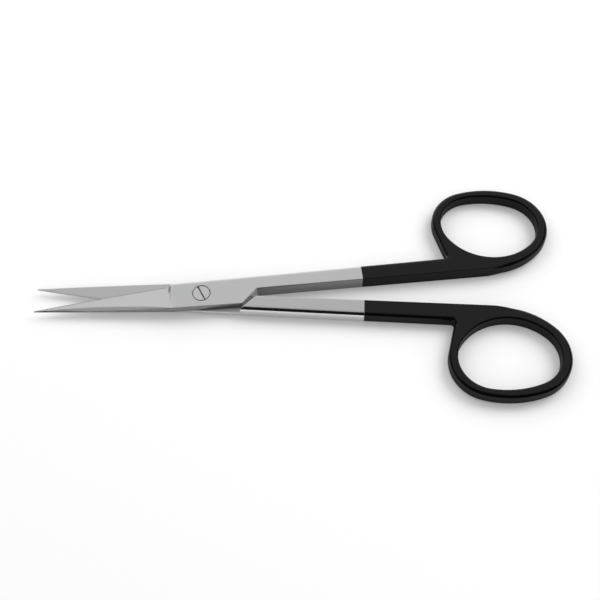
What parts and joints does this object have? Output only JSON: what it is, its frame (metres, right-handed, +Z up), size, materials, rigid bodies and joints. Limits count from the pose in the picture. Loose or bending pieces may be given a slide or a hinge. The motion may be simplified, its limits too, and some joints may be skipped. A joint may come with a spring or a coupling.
{
  "type": "plastic surgery scissors",
  "caption": "Straight pointed surgical scissors: slim steel blades on a flush slotted pivot screw, black coated handles with oval finger rings.",
  "frame": {"origin": "where the pivot axis meets the surface the scissors lie on, in the middle of the screw end", "axes": "+Z up along the pivot axis, out of the screw head; +X from the pivot along the middle of the instrument towards the finger rings, so the points are at -X; +Y towards the ring of the upper half"},
  "size_m": [0.1208, 0.0578, 0.0034],
  "materials": {
    "steel": "satin stainless steel, glossy black coat on the handle part",
    "screw_steel": "fine turned stainless steel"
  },
  "bodies": {
    "lower": {"lower_half": "steel", "pivot_screw": "screw_steel"},
    "upper": {"upper_half": "steel"}
  },
  "joints": [
    {"name": "pivot", "type": "hinge", "parent": "lower", "child": "upper", "pos_m": [0, 0, 0.0017], "axis": [0, 0, 1], "range_deg": [-8.6, 50]}
  ]
}
